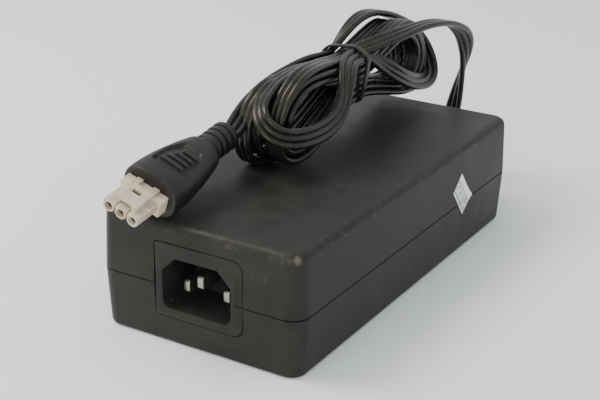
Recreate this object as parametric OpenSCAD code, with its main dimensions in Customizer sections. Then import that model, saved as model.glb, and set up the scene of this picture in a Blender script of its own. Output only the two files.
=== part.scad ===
// Mains power adapter brick with a C14 inlet and a captive flat three-core output lead.
// The lead is folded into a hank that lies on the case, and its plug rests on the front edge.
// Millimetres. +X right, +Y towards the lead's exit, +Z up.
// The origin is the centre of the case's underside.

/* [Case] */
// Width of the case at the seam
body_w = 70.5; // [60:0.5:90]
// Length of the case at the seam
body_l = 146; // [140:1:190]
// Height of the case
body_h = 38.5; // [37:0.5:50]
// Height of the seam between the two shells
seam_z = 18.8; // [17:0.1:20]
// Wall thickness at the floor and the roof
wall = 2.2; // [1.6:0.1:2.8]
// Radius of the upright corners
corner_r = 6; // [4:0.5:9]
// Radius along the top edges
top_fillet = 2.5; // [1:0.1:3]
// Radius along the bottom edges
bottom_fillet = 1.5; // [0.5:0.1:2.5]
// Inward lean of the lower shell's sides, over its height
lower_draft = 1.0; // [0.4:0.1:1.4]
// Inward lean of the upper shell's sides, over its height
upper_draft = 0.6; // [0.3:0.1:1.2]
// Depth of the groove that marks the seam
seam_groove = 0.5; // [0.2:0.1:0.8]

/* [Mains inlet] */
// Width of the inlet's visible frame
flange_w = 30.5; // [29:0.5:34]
// Height of the inlet's visible frame
flange_h = 23.5; // [22:0.5:25]
// Sideways offset of the frame from the case's middle
flange_x = 1.1; // [-4:0.1:4]
// Height of the frame's centre
flange_z = 20.65; // [20:0.1:22]
// Width of the socket cavity
socket_w = 23.9; // [23:0.1:25]
// Height of the socket cavity
socket_h = 16.3; // [15.5:0.1:17]
// Depth of the socket cavity
socket_depth = 16.5; // [15:0.5:18]
// Size of the chamfers on the cavity's two upper corners
socket_chamfer = 4.6; // [3:0.1:5]
// Distance between the line and neutral blades
blade_pitch = 14; // [13.5:0.1:14.5]
// How far the earth blade stands above the other two
earth_rise = 4; // [3.5:0.1:4.5]
// Clearance round the frame in the shells
inlet_gap = 0.25; // [0.1:0.05:0.5]

/* [Circuit board] */
// Thickness of the board
board_t = 1.6; // [1:0.2:2.4]
// Height of the board's underside above the case's floor
board_lift = 3.8; // [3:0.1:4.5]
// Clearance between the board's edge and the shell
board_gap = 1.0; // [0.5:0.1:2]
// Diameter of the large input capacitor
bulk_d = 22; // [18:1:25]
// Height of the large input capacitor
bulk_h = 25; // [18:1:26]

/* [Lead] */
// Width of the flat lead
lead_w = 6.6; // [5:0.1:7.5]
// Thickness of the flat lead
lead_t = 2.2; // [1.6:0.1:2.6]
// Length of the strain relief behind the case
relief_l = 12; // [8:0.5:16]
// Radius of the bound waist of the hank
waist_r = 9; // [7:0.5:10]
// Radius of the hank's front bend
front_bend_r = 15.4; // [13:0.1:15.8]
// Radius of the hank's rear bend
rear_bend_r = 15.5; // [12:0.5:17]

/* [Plug] */
// Distance between neighbouring contacts
contact_pitch = 4.2; // [4:0.05:4.4]
// How far the connector stands out of its moulded body
connector_out = 12.4; // [11:0.1:15]
// Width of the moulded body at its face
grip_w = 18.6; // [17:0.1:22]
// Height of the moulded body at its face
grip_h = 13.4; // [12:0.1:13.8]
// Length of the moulded body, without its ribbed neck
grip_l = 27; // [22:1:34]
// Length of the ribbed neck
neck_l = 13; // [10:0.5:18]
// Diameter of the ribbed neck
neck_d = 9.3; // [8.5:0.1:10.5]

/* [Hidden] */
$fn = 48;

// Colours
case_black = "#2b2b2b";
trim_black = "#1c1c1c";
lead_black = "#161616";
ivory = "#d8cfbd";
tinned = "#c9cdd2";
copper = "#b87333";
board_green = "#2f6b3c";
ferrite = "#3a3a40";
tape_yellow = "#d9b53a";
foil_grey = "#a9adb3";

// Case
half_w = body_w / 2;
half_l = body_l / 2;
side_wall = wall + lower_draft;          // wall at the seam, where the case is widest
room_w = body_w - 2 * side_wall;
room_l = body_l - 2 * side_wall;
room_top = body_h - wall;
room_r = max(corner_r - side_wall, 1);
groove_h = 0.3;                          // half the height of the seam's groove
tongue_t = side_wall / 2 - 0.3;
tongue_h = 1.5;
joint_gap = 0.1;
inside_front = -room_l / 2;
inside_rear = room_l / 2;

// Inlet
flange_y = 0.3 - half_l;                 // face of the frame, a little inside the seam's width
lip_t = 1.5;
lip_over = 1.8;
skin = 1.6;                              // wall of the socket
socket_x = flange_x - 0.8;
socket_z = flange_z - 0.75;
socket_floor = flange_y + socket_depth;
inlet_back = socket_floor + 2;
blade_w = 2;
blade_h = 4;
blade_z = socket_z - 2.55;
blade_tip = flange_y + 5.3;
earth_lead = 3;                          // how far the earth blade reaches past the others
tail_l = 5;
blade_tail = inlet_back + tail_l;

// Board and what stands on it
floor_z = wall;
board_z = floor_z + board_lift;
top_z = board_z + board_t;
board_w = room_w - 2 * board_gap;
board_front = inlet_back + 3;
board_rear = inside_rear - 8;
board_l = board_rear - board_front;
board_y = (board_front + board_rear) / 2;
post_x = board_w / 2 - 4;
post_y = board_l / 2 - 4;
left_x = -board_w / 2;
right_x = board_w / 2;
sink_t = 3;
sink_h = min(24, room_top - top_z - 4);
sink_x = board_w / 2 - 3;
primary_sink_l = 34;
primary_sink_y = board_front + 52;
secondary_sink_l = 28;
secondary_sink_y = board_rear - 22;
package = [4.6, 10.2, 15.6];             // power transistor package, thickness first
screw_z = 13;
core_size = [33, 27, 25];
core_x = -3;
core_y = board_rear - 32;
core_leg = 7;
bobbin_gap = 0.5;
toroid_r = 8;
toroid_t = 3.8;
toroid_y = board_front + 26;
winding_t = 1.2;
toroid_z = top_z + toroid_r + toroid_t + winding_t + 0.2;

// Lead exit
exit_z = seam_z;
gland_y = half_l;
neck_w = lead_w + 4.4;
neck_h = lead_t + 4.8;
collar_t = 1.4;
relief_end = gland_y + collar_t + relief_l;

// Hank: each bend is a disc on edge, and the waist is the bundle between them
front_bend = [-3, -7, body_h + front_bend_r + 0.1];
waist_front = [-8, 4, body_h + 17.5];
waist_rear = [-9, 54, body_h + 19];
rear_bend = [-8, 62, body_h + 20.5];
front_bend_t = 21;
rear_bend_t = 16;
tie_at = [-8.5, 27.5, body_h + 18];
tie_w = 3.2;
tie_t = 0.9;

// Routes of the lead's free stretches, and the way its width points along them.
// The tail leaves the relief, turns up behind the case and comes forward over its top.
tail_exit = [0, relief_end, exit_z];
tail_rise = [[0, 0, 0], [0, 2.1, 0], [0, 5.1, 0.2], [1, 9.6, 6.2], [2, 10.6, 14.2]];
tail_turn = [[4, 10.6, 3.5], [6, 9.6, 12.5], [7.5, 3.6, 21.5]];
tail_over = [
    [7, 80, 28], [6, 68, 31], [4.5, 57, 31.5], [3, 47, 30.5], [1, 39, 28], [-3, 32, 24]
];
tail_route = concat(
    [for (p = tail_rise) tail_exit + p],
    [for (p = tail_turn) [0, relief_end, body_h] + p],
    [for (p = tail_over) [0, 0, body_h] + p]
);
tail_width = [
    [1, 0, 0], [1, 0, 0], [1, 0, 0], [1, 0, 0], [0.9, -0.4, 0], [0.5, -0.85, 0],
    [-0.1, -1, 0], [-0.8, -0.4, -0.4], [-1, 0, 0], [-1, 0, 0], [-1, 0, 0],
    [-1, 0, 0.2], [-0.9, 0, 0.4], [-0.8, 0, 0.5]
];
front_start = 6;                         // straight stretch behind the plug's neck
front_free = [for (p = [
    [-17, -15, 18], [-17.8, -6, 19.5], [-17.5, 3, 21.5], [-15, 12, 23], [-9, 22, 22.5]
]) [0, 0, body_h] + p];
front_width = [
    [0.93, 0.05, -0.36], [0.93, 0.05, -0.36], [0.93, 0.05, -0.36], [0.93, 0, -0.36], [0.9, 0, -0.4],
    [0.9, 0, -0.4], [0.8, 0.3, -0.5], [0.7, 0.5, -0.5]
];

// Plug: its own frame has X across, Y back along the lead and Z up
plug_at = [-16.2, 1.2 - half_l, body_h + 7.9];
plug_turn = [9.6, 21, 3];
connector_x = -0.5;
silo = [3.7, 3.5];
silo_z = -0.7;
silo_bore = 2.6;
block_l = 3.6;
connector_in = 5;                        // length of the connector inside its moulded body
latch_w = 7.9;
latch_z = 3.2;
latch_t = 1.2;
latch_out = 10.5;
fit_gap = 0.05;

// ---- Shapes shared by several pieces ----

// Rectangle with true round corners, centred
module round_rect(w, h, r) {
    square([w - 2 * r, h], center = true);
    square([w, h - 2 * r], center = true);
    for (x = [-1, 1], y = [-1, 1])
        translate([x * (w / 2 - r), y * (h / 2 - r)])
            circle(r);
}

// A flat outline stood up in the XZ plane, running back from y0 by a length
module along_y(y0, length) {
    translate([0, y0 + length, 0])
        rotate([90, 0, 0])
            linear_extrude(length)
                children();
}

module at_corners(w, l) {
    for (x = [-1, 1], y = [-1, 1])
        translate([x * w, y * l, 0])
            children();
}

function unit(v) = v / norm(v);

// A point between p[i] and p[i + 1] on the smooth curve through the list
function curve_point(p, i, t) =
    let (n = len(p) - 1)
    let (a = p[max(i - 1, 0)], b = p[i], c = p[min(i + 1, n)], d = p[min(i + 2, n)])
    0.5 * (2 * b + (c - a) * t + (2 * a - 5 * b + 4 * c - d) * t * t
        + (3 * b - a - 3 * c + d) * t * t * t);

function curve(p, steps) = concat(
    [for (i = [0 : len(p) - 2]) for (k = [0 : steps - 1]) curve_point(p, i, k / steps)],
    [p[len(p) - 1]]
);

// Eight-sided outline of the flat lead: across its width, then through its thickness
lead_outline = [
    for (s = [[1, 0.5], [0.7, 1], [-0.7, 1], [-1, 0.5], [-1, -0.5], [-0.7, -1], [0.7, -1], [1, -0.5]])
        [s.x * lead_w / 2, s.y * lead_t / 2]
];

// An outline swept along a line of points, its own X kept to the given directions
module sweep(outline, line, across) {
    sides = len(outline);
    last = len(line) - 1;
    rings = [
        for (i = [0 : last])
            let (along = unit(line[min(i + 1, last)] - line[max(i - 1, 0)]))
            let (wide = unit(across[i] - along * (across[i] * along)))
            let (thick = cross(along, wide))
            for (s = outline) line[i] + wide * s.x + thick * s.y
    ];
    skin_faces = [
        for (i = [0 : last - 1], k = [0 : sides - 1])
            let (a = i * sides + k, b = i * sides + (k + 1) % sides)
            for (f = [[a, b + sides, b], [a, a + sides, b + sides]]) f
    ];
    ends = [
        [for (k = [0 : sides - 1]) k],
        [for (k = [sides - 1 : -1 : 0]) last * sides + k]
    ];
    polyhedron(rings, concat(skin_faces, ends), convexity = 6);
}

module flat_lead(route, widths) {
    steps = 2;
    sweep(lead_outline, curve(route, steps), curve(widths, steps));
}

// A round wire along a route that stays in one upright plane
module wire(points, d) {
    sides = 8;
    line = curve(points, 3);
    flat = cross(points[len(points) - 1] - points[0], [0, 0, 1]);
    sweep(
        [for (k = [0 : sides - 1]) [cos(k * 360 / sides), -sin(k * 360 / sides)] * d / 2],
        line,
        [for (p = line) flat]
    );
}

// ---- Case ----

function corner_arc(cx, cz, r, from, to) =
    [for (k = [0 : 4]) let (a = from + (to - from) * k / 4) [cx + r * cos(a), cz + r * sin(a)]];

// Each solid shell form is the hull of four turned corner posts
module corner_posts(outline) {
    hull()
        at_corners(half_w - corner_r, half_l - corner_r)
            rotate_extrude($fn = 32)
                polygon(outline);
}

module lower_form() {
    foot_r = corner_r - lower_draft - bottom_fillet;
    corner_posts(concat(
        [[0, 0]],
        corner_arc(foot_r, bottom_fillet, bottom_fillet, -90, 0),
        [[corner_r, seam_z - groove_h], [corner_r - seam_groove, seam_z], [0, seam_z]]
    ));
}

module upper_form() {
    shoulder_r = corner_r - upper_draft - top_fillet;
    corner_posts(concat(
        [[0, seam_z], [corner_r - seam_groove, seam_z], [corner_r, seam_z + groove_h]],
        corner_arc(shoulder_r, body_h - top_fillet, top_fillet, 0, 90),
        [[0, body_h]]
    ));
}

module room(grow, z0, z1) {
    translate([0, 0, z0])
        linear_extrude(z1 - z0)
            round_rect(room_w + 2 * grow, room_l + 2 * grow, room_r + grow);
}

// Outline of the inlet's frame: tight corners on the left and wide ones on the right
module frame_outline(grow) {
    w = flange_w / 2 + grow;
    h = flange_h / 2 + grow;
    tight = 1 + grow;
    wide = 3.6 + grow;
    polygon([
        [-w, tight - h], [tight - w, -h], [w - wide, -h], [w, wide - h],
        [w, h - wide], [w - wide, h], [tight - w, h], [-w, h - tight]
    ]);
    for (s = [-1, 1]) {
        translate([tight - w, s * (h - tight)])
            circle(tight);
        translate([w - wide, s * (h - wide)])
            circle(wide);
    }
}

module inlet_window() {
    translate([flange_x, 0, flange_z])
        along_y(-half_l - 1, side_wall + 2)
            frame_outline(inlet_gap);
}

module gland_window() {
    translate([0, 0, exit_z])
        along_y(inside_rear - 1, side_wall + 2)
            round_rect(neck_w, neck_h, 1.5);
}

module lower_shell() {
    color(case_black) {
        difference() {
            lower_form();
            room(0, floor_z, seam_z + 1);
            inlet_window();
            gland_window();
            rating_recess();
        }
        difference() {
            room(tongue_t, seam_z - 0.5, seam_z + tongue_h);
            room(0, seam_z - 1, seam_z + tongue_h + 1);
            inlet_window();
            gland_window();
        }
        translate([0, board_y, 0])
            at_corners(post_x, post_y) {
                translate([0, 0, floor_z - 0.2])
                    cylinder(d = 5, h = board_lift + 0.2);
                translate([0, 0, floor_z])
                    cylinder(d = 2.4, h = board_lift + board_t + 0.6);
            }
    }
}

module upper_shell() {
    rib_t = 1.6;
    rib_reach = board_gap + 1.2;
    color(case_black)
        difference() {
            union() {
                difference() {
                    upper_form();
                    room(0, seam_z - 1, room_top);
                    room(tongue_t + joint_gap, seam_z - 1, seam_z + tongue_h + joint_gap);
                }
                for (x = [-1, 1], y = [-1, 1])
                    translate([x * (room_w / 2 - rib_reach / 2), board_y + y * post_y / 2, 0])
                        translate([-rib_reach / 2 - 0.1, -rib_t / 2, top_z + joint_gap])
                            cube([rib_reach + 0.2, rib_t, room_top - top_z]);
            }
            room_edge_relief();
            inlet_window();
            gland_window();
        }
}

// The hold-down ribs step in where the lower shell's tongue passes them
module room_edge_relief() {
    difference() {
        room(tongue_t + joint_gap, seam_z - body_h, seam_z + tongue_h + joint_gap);
        room(-joint_gap, seam_z - body_h - 1, seam_z + body_h);
    }
}

label_size = [46, 66];
label_depth = 0.25;

module rating_recess() {
    translate([0, 0, -1])
        linear_extrude(1 + label_depth)
            round_rect(label_size.x + 0.4, label_size.y + 0.4, 2);
}

module rating_label() {
    color("silver")
        translate([0, 0, label_depth - 0.15])
            linear_extrude(0.15)
                round_rect(label_size.x, label_size.y, 1.8);
}

sticker_side = 9.5;
sticker_at = [33, seam_z + 3.1];         // along the side, and up

module seal_sticker() {
    color("ivory")
        translate([half_w, sticker_at.x, sticker_at.y])
            rotate([45, 0, 0])
                translate([0, -sticker_side / 2, -sticker_side / 2])
                    cube([0.12, sticker_side, sticker_side]);
}

// ---- Mains inlet ----

// Cavity outline: chamfered upper corners and rounded lower ones
module socket_outline(grow) {
    w = socket_w / 2 + grow;
    h = socket_h / 2 + grow;
    c = socket_chamfer + grow * 0.4;
    r = 3 + grow;
    polygon([[-w, 0], [w, 0], [w, h - c], [w - c, h], [c - w, h], [-w, h - c]]);
    translate([0, -h / 2])
        square([2 * (w - r), h], center = true);
    translate([0, (r - h) / 2])
        square([2 * w, h - r], center = true);
    for (x = [-1, 1])
        translate([x * (w - r), r - h])
            circle(r);
}

module inlet_housing() {
    flange_t = inside_front - 0.1 - flange_y;
    notch = [2.8, 0.4, 0.5];
    color(trim_black)
        difference() {
            union() {
                translate([flange_x, 0, flange_z]) {
                    along_y(flange_y, flange_t + 0.3)
                        frame_outline(0);
                    along_y(inside_front + 0.1, lip_t)
                        frame_outline(lip_over);
                }
                translate([socket_x, 0, socket_z])
                    along_y(flange_y + 1, inlet_back - flange_y - 1)
                        socket_outline(skin);
            }
            translate([socket_x, 0, socket_z])
                along_y(flange_y - 1, socket_depth + 1)
                    socket_outline(0);
            blade_slots();
            translate([flange_x + flange_w / 2 - notch.x, flange_y - 0.1, seam_z - notch.y / 2])
                cube([notch.x + 1, notch.z, notch.y]);
        }
}

module blade_slots() {
    for (x = [-1, 0, 1])
        translate([socket_x + x * blade_pitch / 2, 0, blade_z + (x == 0 ? earth_rise : 0)])
            along_y(socket_floor - 1, 4)
                square([blade_w, blade_h], center = true);
}

// A flat blade with a bevelled tip and a narrower soldering tail
module blade(x, rise, reach) {
    tip = blade_tip - reach;
    bevel = 0.6;
    color(tinned)
        translate([socket_x + x, 0, blade_z + rise]) {
            along_y(tip + bevel, inlet_back - tip - bevel)
                square([blade_w, blade_h], center = true);
            translate([0, tip, 0])
                rotate([0, 90, 0])
                    translate([0, 0, -blade_w / 2])
                        linear_extrude(blade_w)
                            polygon([
                                [-blade_h / 2, bevel], [bevel - blade_h / 2, 0],
                                [blade_h / 2 - bevel, 0], [blade_h / 2, bevel]
                            ]);
            along_y(inlet_back - 0.01, tail_l)
                square([0.8, 3], center = true);
        }
}

module line_blade() { blade(-blade_pitch / 2, 0, 0); }
module neutral_blade() { blade(blade_pitch / 2, 0, 0); }
module earth_blade() { blade(0, earth_rise, earth_lead); }

// Wires from the undersides of the blades' tails down to the board
module inlet_wire(tint, from_x, rise, to_x, to_y) {
    start = [socket_x + from_x, blade_tail - 1.5, blade_z + rise - 1.5];
    color(tint)
        wire([
            start,
            start * 0.85 + [to_x, to_y, top_z + 7] * 0.15 - [0, 0, 2],
            [to_x, to_y, top_z + 7] * 0.9 + start * 0.1 + [0, 0, 1],
            [to_x, to_y, top_z + 3],
            [to_x, to_y, top_z - 1]
        ], 1.8);
}

module line_wire() { inlet_wire("saddlebrown", -blade_pitch / 2, 0, left_x + 8, board_front + 3); }
module neutral_wire() { inlet_wire("royalblue", blade_pitch / 2, 0, right_x - 8, board_front + 3); }
module earth_wire() { inlet_wire("yellowgreen", 0, earth_rise, 1, board_front + 6); }

// ---- Board and its parts ----

module insulation_sheet() {
    color("whitesmoke")
        translate([0, board_y, floor_z])
            difference() {
                linear_extrude(0.4)
                    square([board_w, board_l], center = true);
                at_corners(post_x, post_y)
                    translate([0, 0, -1])
                        cylinder(d = 6, h = 3);
            }
}

module circuit_board() {
    color(board_green)
        translate([0, board_y, board_z])
            difference() {
                linear_extrude(board_t)
                    square([board_w, board_l], center = true);
                at_corners(post_x, post_y)
                    translate([0, 0, -1])
                        cylinder(d = 3, h = board_t + 2);
                translate([left_x + 8, board_front + 3 - board_y, -1])
                    cylinder(d = 2, h = board_t + 2);
                translate([right_x - 8, board_front + 3 - board_y, -1])
                    cylinder(d = 2, h = board_t + 2);
                translate([1, board_front + 6 - board_y, -1])
                    cylinder(d = 2, h = board_t + 2);
            }
}

module heat_spreader() {
    color(foil_grey)
        translate([0, board_y, room_top - 0.8])
            linear_extrude(0.8)
                square([room_w - 8, board_l - 6], center = true);
}

module fuse() {
    length = 20;
    lift = 3;
    translate([left_x + 5, board_front + 20, top_z + lift]) {
        color("linen")
            rotate([90, 0, 0])
                cylinder(d = 4.6, h = length - 10, center = true);
        color(tinned) {
            for (y = [-1, 1])
                translate([0, y * (length / 2 - 2.5), 0])
                    rotate([90, 0, 0])
                        cylinder(d = 5.2, h = 5, center = true);
            for (y = [-1, 1])
                translate([0, y * (length / 2 - 2.5), -lift / 2 - 0.5])
                    cube([1, 2, lift - 1], center = true);
        }
    }
}

// A coated disc standing on two leads
module disc(x, y, d, t, tint) {
    lift = 1.5;
    translate([x, y, top_z + lift + d / 2]) {
        color(tint)
            rotate([90, 0, 0])
                cylinder(d = d, h = t, center = true);
        color(tinned)
            for (s = [-1, 1])
                translate([s * d / 5, 0, -d / 2 - lift / 2 + 0.4])
                    cube([0.7, 0.7, lift + 0.8], center = true);
    }
}

module varistor() { disc(-10, board_front + 14, 11, 4, "steelblue"); }
module inrush_thermistor() { disc(-14, toroid_y + 14, 12, 5, "darkolivegreen"); }
module y_capacitor() { disc(left_x + 7, core_y + 2, 8, 4, "royalblue"); }

module x_capacitor() {
    size = [18, 9, 15];
    color("goldenrod")
        translate([right_x - 4 - size.x, board_front + 10, top_z])
            cube(size);
}

module choke_core() {
    color(ferrite)
        translate([0, toroid_y, toroid_z])
            toroid(toroid_r, toroid_t);
}

module toroid(r, t) {
    rotate([90, 0, 0])
        rotate_extrude()
            translate([r, 0])
                circle(t, $fn = 32);
}

// Two copper windings, one on each side of the core, and the leads they stand on
module choke_windings() {
    color(copper)
        translate([0, toroid_y, toroid_z])
            difference() {
                union() {
                    rotate([90, 0, 0])
                        for (turn = [-60, 120])
                            rotate([0, 0, turn])
                                rotate_extrude(angle = 120)
                                    translate([toroid_r, 0])
                                        circle(toroid_t + winding_t, $fn = 32);
                    for (x = [-1, 1])
                        translate([x * toroid_r, 0, top_z - toroid_z])
                            cylinder(d = 1.2, h = toroid_r, $fn = 16);
                }
                toroid(toroid_r, toroid_t);
            }
}

module bridge_rectifier() {
    size = [22, 3.6, 17];
    color(trim_black)
        translate([right_x - 4 - size.x, toroid_y + 10, top_z + 2])
            cube(size);
    color(tinned)
        for (k = [0 : 3])
            translate([right_x - 4 - size.x + 3 + k * 5, toroid_y + 11.3, top_z])
                cube([1, 1, 2.3]);
}

module bulk_capacitor() {
    rim = 1.2;
    r = bulk_d / 2;
    color("midnightblue")
        translate([right_x - 3 - r, toroid_y + 17 + r, top_z])
            rotate_extrude()
                polygon([
                    [0, 0], [r - rim, 0], [r, rim], [r - 0.8, rim + 1.4], [r, rim + 2.8],
                    [r, bulk_h - rim], [r - rim, bulk_h], [0, bulk_h]
                ]);
}

module heatsink(x, y, length) {
    color(foil_grey)
        difference() {
            translate([x - sink_t / 2, y - length / 2, top_z])
                cube([sink_t, length, sink_h]);
            translate([x - sink_t, y, top_z + screw_z])
                rotate([0, 90, 0])
                    cylinder(d = 2.6, h = 2 * sink_t);
            for (s = [-1, 1])
                translate([x - sink_t, y + s * length / 4 - 2, top_z - 0.01])
                    cube([2 * sink_t, 4, 2]);
        }
}

module primary_heatsink() { heatsink(-sink_x, primary_sink_y, primary_sink_l); }
module secondary_heatsink() { heatsink(sink_x, secondary_sink_y, secondary_sink_l); }

// A power package flat against a heatsink's inner face: side is -1 on the left, 1 on the right
module power_package(side, y) {
    face = side * (sink_x - sink_t / 2);
    near = side > 0 ? face - package.x : face;
    color(trim_black)
        difference() {
            translate([near, y - package.y / 2, top_z + 4])
                cube([package.x, package.y, package.z - 4]);
            translate([face - side * 10, y, top_z + screw_z])
                rotate([0, side * 90, 0])
                    cylinder(d = 3.2, h = 20);
        }
    color(tinned)
        for (k = [-1 : 1])
            translate([face - side * 2.4 - 0.4, y + k * 2.54 - 0.4, top_z])
                cube([0.8, 0.8, 4.1]);
}

module switching_transistor() { power_package(-1, primary_sink_y); }
module output_rectifier() { power_package(1, secondary_sink_y); }

// One screw through each power package into its heatsink
module heatsink_screws() {
    head_t = 1.8;
    color(tinned)
        for (s = [[-1, primary_sink_y], [1, secondary_sink_y]]) {
            seat = sink_x - sink_t / 2 - package.x;
            translate([s[0] * seat, s[1], top_z + screw_z])
                rotate([0, s[0] * 90, 0]) {
                    translate([0, 0, -head_t])
                        cylinder(d = 5.4, h = head_t);
                    translate([0, 0, -0.1])
                        cylinder(d = 2.6, h = package.x + sink_t + 0.1);
                }
        }
}

// A small moulded chip on bent legs
module chip(x, y, w, l, legs) {
    color(trim_black)
        translate([x - w / 2, y - l / 2, top_z + 0.8])
            cube([w, l, 3]);
    color(tinned)
        for (s = [-1, 1], k = [0 : legs - 1])
            translate([x + s * (w / 2 + 0.3) - 0.3, y - l / 2 + (k + 0.5) * l / legs - 0.3, top_z])
                cube([0.6, 0.6, 2.6]);
}

module controller_ic() { chip(-13, primary_sink_y - 3, 6.2, 9.4, 4); }
module optocoupler() { chip(right_x - 9, core_y - 6, 6.2, 5, 2); }

// Transformer: a split ferrite core round a bobbin that carries the winding
module transformer_core() {
    arm = core_leg / 2;
    color(ferrite)
        translate([core_x, core_y, top_z + 1 + core_size.z / 2])
            difference() {
                cube([core_size.x, core_leg + 6, core_size.z], center = true);
                for (s = [-1, 1])
                    translate([s * (core_size.x / 2 - arm - 4.5), 0, 0])
                        cube([9.4, core_leg + 7, core_size.z - core_leg], center = true);
            }
}

module transformer_bobbin() {
    cheek = 1.2;
    tall = core_size.z - core_leg - 2 * bobbin_gap;
    mid = core_size.x - 2 * (core_leg / 2 + 9.2);
    color("darkslategray")
        translate([core_x, core_y, top_z + 1 + core_size.z / 2])
            difference() {
                union() {
                    for (s = [-1, 1])
                        translate([0, 0, s * (tall - cheek) / 2])
                            cube([mid + 15, core_size.y, cheek], center = true);
                    cube([mid + 3, core_leg + 9, tall], center = true);
                    for (s = [-1, 1])
                        translate([-mid / 2 - 6.5, s * (core_size.y / 2 - 2) - 1.8, -core_size.z / 2 - 1])
                            cube([mid + 13, 3.6, (core_size.z - tall) / 2 + 1.2]);
                }
                cube([mid + bobbin_gap, core_leg + 6 + 2 * bobbin_gap, tall + 2], center = true);
            }
}

module transformer_winding() {
    cheek = 1.2;
    tall = core_size.z - core_leg - 2 * bobbin_gap - 2 * cheek;
    mid = core_size.x - 2 * (core_leg / 2 + 9.2);
    color(tape_yellow)
        translate([core_x, core_y, top_z + 1 + core_size.z / 2])
            difference() {
                linear_extrude(tall - 0.2, center = true)
                    round_rect(mid + 14, core_size.y - 2, 5);
                cube([mid + 3, core_leg + 9, tall + 1], center = true);
            }
}

module output_choke() {
    r = 6;
    tall = 15;
    color(ferrite)
        translate([12, board_rear - 10, top_z])
            rotate_extrude()
                polygon([
                    [0, 0], [r, 0], [r, 2], [r - 1.6, 2],
                    [r - 1.6, tall - 2], [r, tall - 2], [r, tall], [0, tall]
                ]);
    color(copper)
        translate([12, board_rear - 10, top_z + 2])
            difference() {
                cylinder(r = r - 0.4, h = tall - 4);
                translate([0, 0, -1])
                    cylinder(r = r - 1.6, h = tall);
            }
}

module output_capacitors() {
    r = 5;
    tall = 20;
    for (x = [left_x + 7, left_x + 18.5, left_x + 30])
        color("midnightblue")
            translate([x, board_rear - 10, top_z])
                rotate_extrude()
                    polygon([
                        [0, 0], [r - 0.6, 0], [r, 0.6], [r - 0.5, 1.8],
                        [r, 3], [r, tall - 0.6], [r - 0.6, tall], [0, tall]
                    ]);
}

// The three cores of the lead, parted behind the gland and taken down to the board
module output_wires() {
    pitch = lead_w / 3;
    inner_end = inside_rear - lip_t - 0.1;
    for (k = [-1 : 1])
        color(k == 0 ? "whitesmoke" : (k < 0 ? "black" : "firebrick"))
            wire([
                [k * pitch, inner_end, exit_z],
                [k * pitch, inner_end - 2, exit_z],
                [k * (pitch + 0.8), inner_end - 5, exit_z - 1.4],
                [k * (pitch + 1.6), inner_end - 7.9, top_z + 6],
                [k * (pitch + 2), board_rear - 2, top_z + 3],
                [k * (pitch + 2), board_rear - 2, top_z]
            ], 1.5);
}

// ---- Lead, from the case to the plug ----

// Tapered relief with slots between its ribs, held in the wall between a lip and a collar
module lead_gland() {
    rib_count = 4;
    pitch = relief_l / rib_count;
    color(trim_black)
        translate([0, 0, exit_z]) {
            along_y(inside_rear - lip_t - 0.1, lip_t)
                round_rect(neck_w + 3, neck_h + 3, 2);
            along_y(inside_rear - 0.2, side_wall + 0.3)
                round_rect(neck_w - 2 * fit_gap, neck_h - 2 * fit_gap, 1.4);
            along_y(gland_y, collar_t)
                round_rect(neck_w + 2.4, neck_h + 2.4, 2);
            for (k = [0 : rib_count - 1]) {
                shrink = 2.6 * k / rib_count;
                along_y(gland_y + collar_t + k * pitch, pitch * 0.62)
                    round_rect(neck_w - shrink, neck_h - shrink, 2);
                along_y(gland_y + collar_t + k * pitch, pitch)
                    round_rect(lead_w + 1.8, lead_t + 1.8, 1.4);
            }
        }
}

// A disc on edge with a rounded rim, its axis along X
module bend_disc(r, t) {
    rim = 4;
    rotate([0, 90, 0])
        rotate_extrude($fn = 48)
            polygon(concat(
                [[0, -t / 2]],
                corner_arc(r - rim, rim - t / 2, rim, -90, 0),
                corner_arc(r - rim, t / 2 - rim, rim, 0, 90),
                [[0, t / 2]]
            ));
}

module hank_form() {
    span = waist_rear - waist_front;
    translate(front_bend)
        bend_disc(front_bend_r, front_bend_t);
    translate(rear_bend)
        bend_disc(rear_bend_r, rear_bend_t);
    translate(waist_front)
        rotate([0, acos(span.z / norm(span)), atan2(span.y, span.x)])
            cylinder(r = waist_r, h = norm(span));
}

module lead_hank() {
    color(lead_black)
        hank_form();
}

module tie_band(r0, r1, w) {
    span = waist_rear - waist_front;
    translate(tie_at)
        rotate([0, acos(span.z / norm(span)), atan2(span.y, span.x)])
            difference() {
                cylinder(r = r1, h = w, center = true);
                cylinder(r = r0, h = w + 1, center = true);
            }
}

module hank_tie() {
    color(trim_black)
        difference() {
            union() {
                tie_band(waist_r - 1, waist_r + tie_t, tie_w);
                translate(tie_at + [-waist_r - 0.4, 0, 1])
                    rotate([50, -60, 0])
                        cylinder(d = 2, h = 9);
            }
            hank_form();
        }
}

module lead_tail() {
    color(lead_black)
        difference() {
            flat_lead(tail_route, tail_width);
            hank_form();
        }
}

// A point of the plug's own frame, in the part's frame
function turned(p) =
    let (a = plug_turn)
    let (x1 = p.x, y1 = p.y * cos(a.x) - p.z * sin(a.x), z1 = p.y * sin(a.x) + p.z * cos(a.x))
    let (x2 = x1 * cos(a.y) + z1 * sin(a.y), z2 = z1 * cos(a.y) - x1 * sin(a.y))
    [x2 * cos(a.z) - y1 * sin(a.z), x2 * sin(a.z) + y1 * cos(a.z), z2];

module lead_front() {
    neck_end = grip_l + neck_l;
    start = [for (y = [0, front_start / 2, front_start]) plug_at + turned([0, neck_end + y, 0])];
    color(lead_black)
        difference() {
            flat_lead(concat(start, front_free), front_width);
            hank_form();
        }
}

// ---- Plug ----

module in_plug_frame() {
    translate(plug_at)
        rotate(plug_turn)
            children();
}

module grip_section(y, w, h, r) {
    along_y(y, 0.01)
        round_rect(w, h, r);
}

module connector_block() {
    wide = 3 * contact_pitch + 1.6;
    translate([connector_x, 0, -0.3])
        along_y(0, connector_in)
            square([wide, 5.4], center = true);
}

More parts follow.
